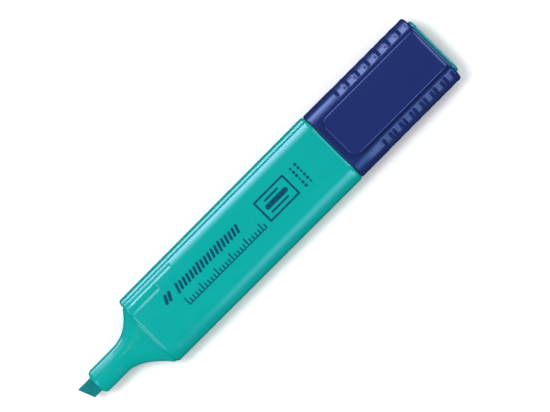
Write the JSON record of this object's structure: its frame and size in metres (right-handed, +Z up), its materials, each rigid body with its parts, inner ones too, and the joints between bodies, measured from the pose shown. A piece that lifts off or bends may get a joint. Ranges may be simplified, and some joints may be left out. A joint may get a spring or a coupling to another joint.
{
  "type": "highlighter",
  "caption": "Flat-bodied highlighter with a chisel nib, its clip cap posted on the rear end and free to pull off.",
  "frame": {"origin": "on the surface the pen lies on, under the middle of its bounding box", "axes": "+X along the pen from the nib to the posted cap, +Z up through the broad face with the clip"},
  "size_m": [0.1438, 0.025, 0.0163],
  "materials": {
    "barrel_plastic": "satin-gloss moulded turquoise",
    "plug_plastic": "satin-gloss moulded turquoise",
    "nib_fibre": "ink-soaked bonded fibre",
    "reservoir_fibre": "ink-soaked fibre bundle",
    "reservoir_wrap": "thin clear film",
    "cap_plastic": "satin-gloss moulded navy",
    "inner_cap_plastic": "moulded turquoise"
  },
  "bodies": {
    "pen": {"barrel": "barrel_plastic", "rear_plug": "plug_plastic", "chisel_nib": "nib_fibre", "reservoir_core": "reservoir_fibre", "reservoir_film": "reservoir_wrap"},
    "cap": {"cap_shell": "cap_plastic", "inner_cap": "inner_cap_plastic"},
    "clip": {"cap_clip": "cap_plastic"}
  },
  "joints": [
    {"name": "cap_slide", "type": "slide", "parent": "pen", "child": "cap", "axis": [1, 0, 0], "range_m": [0, 0.06]},
    {"name": "clip_flex", "type": "hinge", "parent": "cap", "child": "clip", "pos_m": [0.06305, 0, 0.0163], "axis": [0, 1, 0], "range_deg": [0, 4], "stiffness_Nm_per_rad": 0.36}
  ]
}
